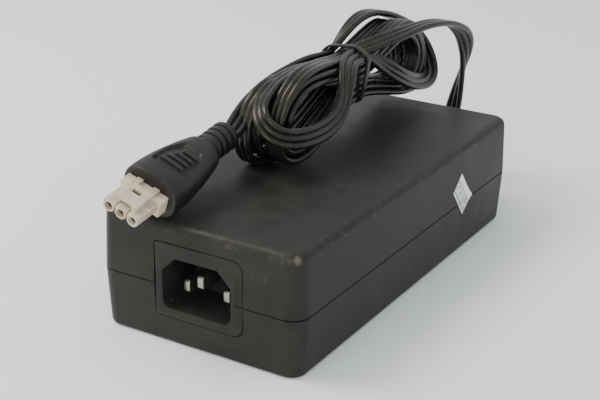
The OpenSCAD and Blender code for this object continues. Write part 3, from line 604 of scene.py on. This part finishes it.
def blend_colours(tree, share, first, second):
    made = new_node(tree, "ShaderNodeMix", data_type="RGBA")
    feed(tree, made.inputs[0], share)
    for socket, value in ((made.inputs[6], first), (made.inputs[7], second)):
        feed(tree, socket, (*value, 1) if isinstance(value, tuple) else value)
    return made.outputs[2]


def new_group(name, inputs, outputs):
    """An empty node group, its input node and its output node."""
    group = bpy.data.node_groups.new(name, "ShaderNodeTree")
    for label, value in inputs.items():
        made = group.interface.new_socket(name=label, in_out="INPUT", socket_type="NodeSocketFloat")
        made.default_value = value
    for label in outputs:
        group.interface.new_socket(name=label, in_out="OUTPUT", socket_type="NodeSocketFloat")
    return group, new_node(group, "NodeGroupInput"), new_node(group, "NodeGroupOutput")


def place_group(tree, group, **values):
    made = new_node(tree, "ShaderNodeGroup", node_tree=group)
    for label, value in values.items():
        feed(tree, made.inputs[label.replace("_", " ")], value)
    return made.outputs


print("helpers ready")

# %% Shared effects
grain, given, result = new_group("Mould grain", {"Scale": 2500.0, "Blotch Scale": 120.0},
                                 ["Height", "Blotch"])
spot = new_node(grain, "ShaderNodeTexCoord").outputs["Object"]
fine = noise(grain, spot, given.outputs["Scale"], 3, 0.6)
feed(grain, result.inputs["Height"], fine)
feed(grain, result.inputs["Blotch"], noise(grain, spot, given.outputs["Blotch Scale"], 4, 0.6))

# The case's edges and corners: the edges get wear, the corners get wear and a painted highlight.
wear_and_highlight, given, result = new_group(
    "Edge wear and corner highlight", {"Half Width": 0.03525, "Half Length": 0.073, "Top": 0.0385, "Radius": 0.0035},
    ["Edge", "Corner"])
spot = new_node(wear_and_highlight, "ShaderNodeTexCoord").outputs["Object"]
axes = new_node(wear_and_highlight, "ShaderNodeSeparateXYZ")
feed(wear_and_highlight, axes.inputs[0], spot)


def past(tree, coordinate, limit, radius):
    """How far a point is into the last stretch before an edge, from 0 to 1."""
    inner = calc(tree, "SUBTRACT", limit, radius)
    beyond = calc(tree, "MAXIMUM", calc(tree, "SUBTRACT", coordinate, inner), 0.0)
    return calc(tree, "DIVIDE", beyond, radius)


in_x = past(wear_and_highlight, calc(wear_and_highlight, "ABSOLUTE", axes.outputs[0]), given.outputs["Half Width"],
            given.outputs["Radius"])
in_y = past(wear_and_highlight, calc(wear_and_highlight, "ABSOLUTE", axes.outputs[1]), given.outputs["Half Length"],
            given.outputs["Radius"])
in_z = past(wear_and_highlight, axes.outputs[2], given.outputs["Top"], given.outputs["Radius"])
xy = calc(wear_and_highlight, "MULTIPLY", in_x, in_y)
yz = calc(wear_and_highlight, "MULTIPLY", in_y, in_z)
zx = calc(wear_and_highlight, "MULTIPLY", in_z, in_x)
feed(wear_and_highlight, result.inputs["Edge"], calc(wear_and_highlight, "MAXIMUM", calc(wear_and_highlight, "MULTIPLY", xy, 0.4),
                                       calc(wear_and_highlight, "MAXIMUM", yz, zx)))
# Corner marks the top corners, which get a lighter colour: partly wear, partly a painted highlight.
feed(wear_and_highlight, result.inputs["Corner"], calc(wear_and_highlight, "MULTIPLY", xy, in_z))

dust, given, result = new_group("Dust", {"Scale": 900.0, "Amount": 0.5}, ["Specks"])
spot = new_node(dust, "ShaderNodeTexCoord").outputs["Object"]
cells = new_node(dust, "ShaderNodeTexVoronoi")
feed(dust, cells.inputs["Vector"], spot)
feed(dust, cells.inputs["Scale"], given.outputs["Scale"])
patch = noise(dust, spot, 60.0, 3, 0.6)
size = calc(dust, "MULTIPLY", remap(dust, patch, 0.45, 0.7), given.outputs["Amount"])
few = new_node(dust, "ShaderNodeSeparateColor")
feed(dust, few.inputs[0], cells.outputs["Color"])
chosen = remap(dust, few.outputs[0], 0.82, 0.86)
speck = calc(dust, "LESS_THAN", cells.outputs["Distance"], calc(dust, "MULTIPLY", size, 0.34))
facing = new_node(dust, "ShaderNodeSeparateXYZ")
feed(dust, facing.inputs[0], new_node(dust, "ShaderNodeNewGeometry").outputs["Normal"])
lying = remap(dust, facing.outputs[2], 0.2, 0.7)
shown = calc(dust, "MULTIPLY", speck, chosen)
feed(dust, result.inputs["Specks"], calc(dust, "MULTIPLY", shown, lying))

scratches, given, result = new_group(
    "Hairline scratches", {"Across": 1500.0, "Along": 55.0}, ["Lines"])
spot = new_node(scratches, "ShaderNodeTexCoord").outputs["Object"]
turned = new_node(scratches, "ShaderNodeVectorRotate", rotation_type="Z_AXIS")
turned.inputs["Angle"].default_value = math.radians(-24)
feed(scratches, turned.inputs["Vector"], spot)
stretch = new_node(scratches, "ShaderNodeCombineXYZ")
for socket, label in zip(stretch.inputs, ("Along", "Across", "Along")):
    feed(scratches, socket, given.outputs[label])
drawn = new_node(scratches, "ShaderNodeVectorMath", operation="MULTIPLY")
feed(scratches, drawn.inputs[0], turned.outputs[0])
feed(scratches, drawn.inputs[1], stretch.outputs[0])
hairs = remap(scratches, noise(scratches, drawn.outputs[0], 1.0, 1.0), 0.70, 0.76)
patches = remap(scratches, noise(scratches, spot, 38.0, 2.0), 0.53, 0.62)
feed(scratches, result.inputs["Lines"], calc(scratches, "MULTIPLY", hairs, patches))
print("node groups:", [g.name for g in bpy.data.node_groups])

# %% [markdown]
# ## The case's finish
# The case is charcoal ABS with a satin, finely textured surface. Handling has polished its top
# edges to a faint shine, there are hairline scratches on the lid, and dust sits on it. The top
# corners are lighter, partly from wear and partly as a painted highlight. The grain goes into a
# bump, and the masks blend colour and roughness.

# %% Material helpers


def new_material(name, metallic=0.0, specular=0.5):
    """A material with its Principled shader, the uniform numbers set on the shader itself."""
    material = bpy.data.materials.new(name)
    material.use_nodes = True
    tree = material.node_tree
    shader = tree.nodes["Principled BSDF"]
    shader.inputs["Metallic"].default_value = metallic
    shader.inputs["Specular IOR Level"].default_value = specular
    return material, tree, shader


def bump(tree, shader, height, strength, distance):
    made = new_node(tree, "ShaderNodeBump")
    made.inputs["Strength"].default_value = strength
    made.inputs["Distance"].default_value = distance * MM
    feed(tree, made.inputs["Height"], height)
    tree.links.new(made.outputs[0], shader.inputs["Normal"])


def mottled(tree, texture, dark, light):
    """A colour that wanders between two tones with the texture's blotches."""
    return blend_colours(tree, remap(tree, texture["Blotch"], 0.35, 0.65), dark, light)


def wandering(tree, texture, low, high):
    """A roughness that wanders between two values with the texture's blotches."""
    return remap(tree, texture["Blotch"], 0.3, 0.7, low, high)


def paint(piece, material):
    piece.data.materials.clear()
    piece.data.materials.append(material)


print("material helpers ready")

# %% Case plastic
CASE_DARK, CASE_LIGHT = (0.0165, 0.0163, 0.0143), (0.023, 0.0227, 0.0200)
# The corner colour is partly polished plastic and partly a painted highlight on the rounded top
# corners.
CASE_WORN, CORNER_POLISH_AND_HIGHLIGHT = (0.075, 0.064, 0.046), (0.115, 0.095, 0.065)
SCRATCHED = (0.085, 0.075, 0.055)
DUST_COLOUR = (0.26, 0.25, 0.22)


def case_finish(name, worn):
    material, tree, shader = new_material(name, specular=0.19)
    texture = place_group(tree, grain, Scale=3200.0, Blotch_Scale=90.0)
    colour = mottled(tree, texture, CASE_DARK, CASE_LIGHT)
    roughness = wandering(tree, texture, 0.43, 0.53)
    if worn:
        edges = place_group(tree, wear_and_highlight)
        ragged = noise(tree, new_node(tree, "ShaderNodeTexCoord").outputs["Object"], 420.0, 4, 0.65)
        rubbed = calc(tree, "MULTIPLY", remap(tree, edges["Edge"], 0.05, 0.3),
                      remap(tree, ragged, 0.52, 0.72))
        # The top corners are lightened, partly for wear and partly as a painted highlight.
        polished_and_lit_corner = calc(tree, "MULTIPLY", remap(tree, edges["Corner"], 0.004, 0.06),
                      remap(tree, ragged, 0.38, 0.5))
        colour = blend_colours(tree, calc(tree, "MULTIPLY", rubbed, 0.5), colour, CASE_WORN)
        colour = blend_colours(tree, polished_and_lit_corner, colour, CORNER_POLISH_AND_HIGHLIGHT)
        colour = blend_colours(tree, place_group(tree, scratches)["Lines"], colour, SCRATCHED)
        roughness = calc(tree, "SUBTRACT", roughness, calc(tree, "MULTIPLY", rubbed, 0.08))
    specks = place_group(tree, dust, Scale=1100.0, Amount=0.65)["Specks"]
    feed(tree, shader.inputs["Base Color"], blend_colours(tree, specks, colour, DUST_COLOUR))
    feed(tree, shader.inputs["Roughness"], roughness)
    shader.inputs["Specular Tint"].default_value = (1.0, 0.97, 0.89, 1)
    bump(tree, shader, texture["Height"], 0.35, 0.05)
    return material


case_plastic = case_finish("case plastic", True)
inlet_plastic = case_finish("inlet plastic", False)
paint(upper, case_plastic)
paint(lower, case_plastic)
paint(inlet, inlet_plastic)
print("case finish on 3 pieces")

# %% [markdown]
# ## The lead, the grip and the tie
# The lead is soft PVC with a clear gloss, so its ridges carry long highlights. The grip is the
# same plastic moulded against a blasted tool, which leaves it dull, and the tie lies between
# the two. All gather a little dust.

# %% Lead and grip materials


def pvc(name, dark, light, rough_low, rough_high, grain_scale, grain_depth):
    material, tree, shader = new_material(name, specular=0.36)
    texture = place_group(tree, grain, Scale=grain_scale, Blotch_Scale=260.0)
    colour = mottled(tree, texture, dark, light)
    specks = place_group(tree, dust, Scale=1500.0, Amount=0.6)["Specks"]
    feed(tree, shader.inputs["Base Color"], blend_colours(tree, specks, colour, DUST_COLOUR))
    feed(tree, shader.inputs["Roughness"], wandering(tree, texture, rough_low, rough_high))
    shader.inputs["Specular Tint"].default_value = (1.0, 0.93, 0.83, 1)
    bump(tree, shader, texture["Height"], 0.25, grain_depth)
    return material


lead_pvc = pvc("lead PVC", (0.011, 0.0105, 0.0095), (0.019, 0.017, 0.0145), 0.22, 0.32,
               grain_scale=900.0, grain_depth=0.04)
grip_pvc = pvc("grip PVC", (0.011, 0.011, 0.0105), (0.017, 0.016, 0.015), 0.4, 0.5,
               grain_scale=2600.0, grain_depth=0.05)
tie_plastic = pvc("tie plastic", (0.012, 0.011, 0.010), (0.022, 0.019, 0.016), 0.3, 0.4,
                  grain_scale=1500.0, grain_depth=0.03)
paint(lead, lead_pvc)
paint(grip, grip_pvc)
paint(gland, grip_pvc)
paint(tie, tie_plastic)
print("soft plastic on 4 pieces")

# %% [markdown]
# ## The connector and the metal
# The connector is nylon in its natural ivory, slightly see-through at its thin edges and a bit
# darker in patches. The pins and contacts are tinned, with fine drawing marks.

# %% Nylon
nylon, tree, shader = new_material("connector nylon", specular=0.5)
texture = place_group(tree, grain, Scale=2200.0, Blotch_Scale=330.0)
feed(tree, shader.inputs["Base Color"],
     mottled(tree, texture, (0.46, 0.38, 0.27), (0.62, 0.53, 0.39)))
feed(tree, shader.inputs["Roughness"], wandering(tree, texture, 0.38, 0.5))
shader.inputs["Subsurface Weight"].default_value = 0.12
shader.inputs["Subsurface Radius"].default_value = (1.0, 0.8, 0.6)
shader.inputs["Subsurface Scale"].default_value = 0.6 * MM
bump(tree, shader, texture["Height"], 0.2, 0.04)
paint(connector, nylon)
print("nylon on", connector.name)

# %% Tinned metal
tinned, tree, shader = new_material("tinned metal", metallic=1.0)
spot = new_node(tree, "ShaderNodeTexCoord").outputs["Object"]
drawn = new_node(tree, "ShaderNodeMapping")
drawn.inputs["Scale"].default_value = (3000, 120, 3000)
feed(tree, drawn.inputs["Vector"], spot)
marks = noise(tree, drawn.outputs[0], 1.0, 2, 0.6)
texture = place_group(tree, grain, Scale=1800.0, Blotch_Scale=500.0)
feed(tree, shader.inputs["Base Color"],
     blend_colours(tree, texture["Blotch"], (0.26, 0.24, 0.21), (0.44, 0.42, 0.39)))
feed(tree, shader.inputs["Roughness"], remap(tree, marks, 0.3, 0.7, 0.28, 0.46))
bump(tree, shader, marks, 0.2, 0.02)
for piece in (*blades, contacts):
    paint(piece, tinned)
print("tinned metal on", len(blades) + 1, "pieces")

# %% [markdown]
# ## The seal's paper
# The seal is cream paper with a blue guard pattern: straight rules along its length, fine wavy
# lines and scattered rings. It is plain line work with no lettering. It is drawn in the seal's
# own UV map, so it turns with the paper.

# %% Seal paper
paper, tree, shader = new_material("seal paper", specular=0.3)
chart = new_node(tree, "ShaderNodeUVMap", uv_map="seal").outputs[0]
axes = new_node(tree, "ShaderNodeSeparateXYZ")
feed(tree, axes.inputs[0], chart)
wave = new_node(tree, "ShaderNodeTexWave", wave_type="BANDS", bands_direction="DIAGONAL")
feed(tree, wave.inputs["Vector"], chart)
wave.inputs["Scale"].default_value = 7
wave.inputs["Distortion"].default_value = 5
wave.inputs["Detail Scale"].default_value = 1.2
dots = new_node(tree, "ShaderNodeTexVoronoi")
feed(tree, dots.inputs["Vector"], chart)
dots.inputs["Scale"].default_value = 7
printed = calc(tree, "MULTIPLY", calc(tree, "LESS_THAN", axes.outputs[1], 0.64),
               calc(tree, "GREATER_THAN", axes.outputs[1], 0.08))
lines = calc(tree, "MULTIPLY", remap(tree, wave.outputs["Fac"], 0.5, 0.65), printed)
rings = calc(tree, "COMPARE", dots.outputs["Distance"], 0.3, 0.09)
marks = calc(tree, "MULTIPLY", rings, printed)
rules = calc(tree, "MAXIMUM", calc(tree, "COMPARE", axes.outputs[1], 0.68, 0.022),
             calc(tree, "COMPARE", axes.outputs[1], 0.12, 0.03))
PAPER, WAVE_INK = (0.90, 0.87, 0.76), (0.12, 0.30, 0.50)
colour = blend_colours(tree, calc(tree, "MULTIPLY", lines, 0.5), PAPER, WAVE_INK)
colour = blend_colours(tree, calc(tree, "MULTIPLY", marks, 0.6), colour, (0.06, 0.09, 0.13))
colour = blend_colours(tree, calc(tree, "MULTIPLY", rules, 0.8), colour, (0.07, 0.16, 0.28))
feed(tree, shader.inputs["Base Color"], colour)
texture = place_group(tree, grain, Scale=4000.0, Blotch_Scale=700.0)
feed(tree, shader.inputs["Roughness"], wandering(tree, texture, 0.5, 0.7))
bump(tree, shader, texture["Height"], 0.2, 0.03)
paint(seal, paper)
print("paper on", seal.name)

# %% [markdown]
# ## The parts inside
# The closed case hides the circuit board and its components, but each kind still gets its own
# finish: a base colour that varies a little and a roughness to match, over the shared grain.

# %% Inner finishes
inner = {
    "label_film": ((0.02, 0.02, 0.022), 0.4, 0, ["rating_label"]),
    "line_insulation": ((0.16, 0.06, 0.025), 0.4, 0, ["line_wire"]),
    "neutral_insulation": ((0.03, 0.10, 0.35), 0.4, 0, ["neutral_wire"]),
    "earth_insulation": ((0.20, 0.42, 0.04), 0.4, 0, ["earth_wire"]),
    "insulation_film": ((0.55, 0.55, 0.5), 0.5, 0, ["insulation_sheet"]),
    "board_laminate": ((0.03, 0.14, 0.05), 0.35, 0, ["circuit_board"]),
    "aluminium_sheet": ((0.55, 0.56, 0.57), 0.42, 1,
                        ["heat_spreader", "primary_heatsink", "secondary_heatsink"]),
    "fuse_ceramic": ((0.6, 0.58, 0.52), 0.35, 0, ["fuse"]),
    "varistor_epoxy": ((0.03, 0.09, 0.3), 0.35, 0, ["varistor"]),
    "thermistor_epoxy": ((0.02, 0.06, 0.03), 0.4, 0, ["inrush_thermistor"]),
    "capacitor_yellow": ((0.65, 0.45, 0.06), 0.4, 0, ["x_capacitor"]),
    "ferrite": ((0.035, 0.035, 0.04), 0.6, 0, ["choke_core", "transformer_core"]),
    "copper_wire": ((0.72, 0.32, 0.14), 0.3, 1, ["choke_windings", "output_choke"]),
    "component_epoxy": ((0.018, 0.018, 0.018), 0.5, 0,
                        ["bridge_rectifier", "switching_transistor", "controller_ic", "optocoupler",
                         "output_rectifier"]),
    "capacitor_sleeve": ((0.02, 0.025, 0.06), 0.3, 0, ["bulk_capacitor", "output_capacitors"]),
    "bobbin_phenolic": ((0.03, 0.022, 0.018), 0.5, 0, ["transformer_bobbin"]),
    "tape_yellow": ((0.75, 0.55, 0.08), 0.35, 0, ["transformer_winding"]),
    "disc_blue": ((0.03, 0.14, 0.42), 0.35, 0, ["y_capacitor"]),
    "screw_steel": ((0.5, 0.5, 0.5), 0.3, 1, ["heatsink_screws"]),
    "core_insulation": ((0.05, 0.05, 0.05), 0.35, 0, ["output_wires"]),
}
for name, (colour, rough, metal, nodes) in inner.items():
    material, tree, shader = new_material(name.replace("_", " "), metallic=float(metal))
    texture = place_group(tree, grain, Scale=1500.0, Blotch_Scale=220.0)
    lighter = tuple(min(c * 1.35 + 0.004, 1) for c in colour)
    feed(tree, shader.inputs["Base Color"], blend_colours(tree, texture["Blotch"], colour, lighter))
    feed(tree, shader.inputs["Roughness"], wandering(tree, texture, rough - 0.06, rough + 0.06))
    bump(tree, shader, texture["Height"], 0.2, 0.04)
    for node in nodes:
        paint(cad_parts[node], material)
print("inner finishes:", len(inner))

# %% [markdown]
# ## The lead's length
# The length of the swept lead is printed in metres.

# %% The cord's facts
print("lead declared, %.2f m" % (lead_length * MM))

# %% [markdown]
# ## Floor and light
# A plain pale floor, one broad soft light from the upper left, a weaker one from the front and
# a pale surround, as on a photographer's table.

# %% Stage
bpy.ops.mesh.primitive_plane_add(size=6)
floor = bpy.context.object
floor.name = "floor"
ground, tree, shader = new_material("pale paper", specular=0.2)
texture = place_group(tree, grain, Scale=500.0, Blotch_Scale=3.0)
feed(tree, shader.inputs["Base Color"],
     blend_colours(tree, texture["Blotch"], (0.87, 0.89, 0.89), (0.91, 0.93, 0.92)))
shader.inputs["Roughness"].default_value = 0.8
paint(floor, ground)

world = bpy.data.worlds.new("surround")
bpy.context.scene.world = world
world.use_nodes = True
world.node_tree.nodes["Background"].inputs["Color"].default_value = (0.92, 0.96, 1.0, 1)
world.node_tree.nodes["Background"].inputs["Strength"].default_value = 1.02


def soft_light(name, place, aim, size, watts, colour):
    bpy.ops.object.light_add(type="AREA", location=place)
    light = bpy.context.object
    light.name = name
    light.rotation_euler = (Vector(aim) - Vector(place)).to_track_quat("-Z", "Y").to_euler()
    light.data.shape = "DISK"
    light.data.size = size
    light.data.energy = watts
    light.data.color = colour


soft_light("key", (-0.55, -0.25, 0.85), (0, 0, 0.02), 0.5, 7.5, (1.0, 0.97, 0.93))
soft_light("fill", (0.05, -1.1, 0.5), (0, 0, 0.03), 0.8, 4.5, (0.97, 0.98, 1.0))
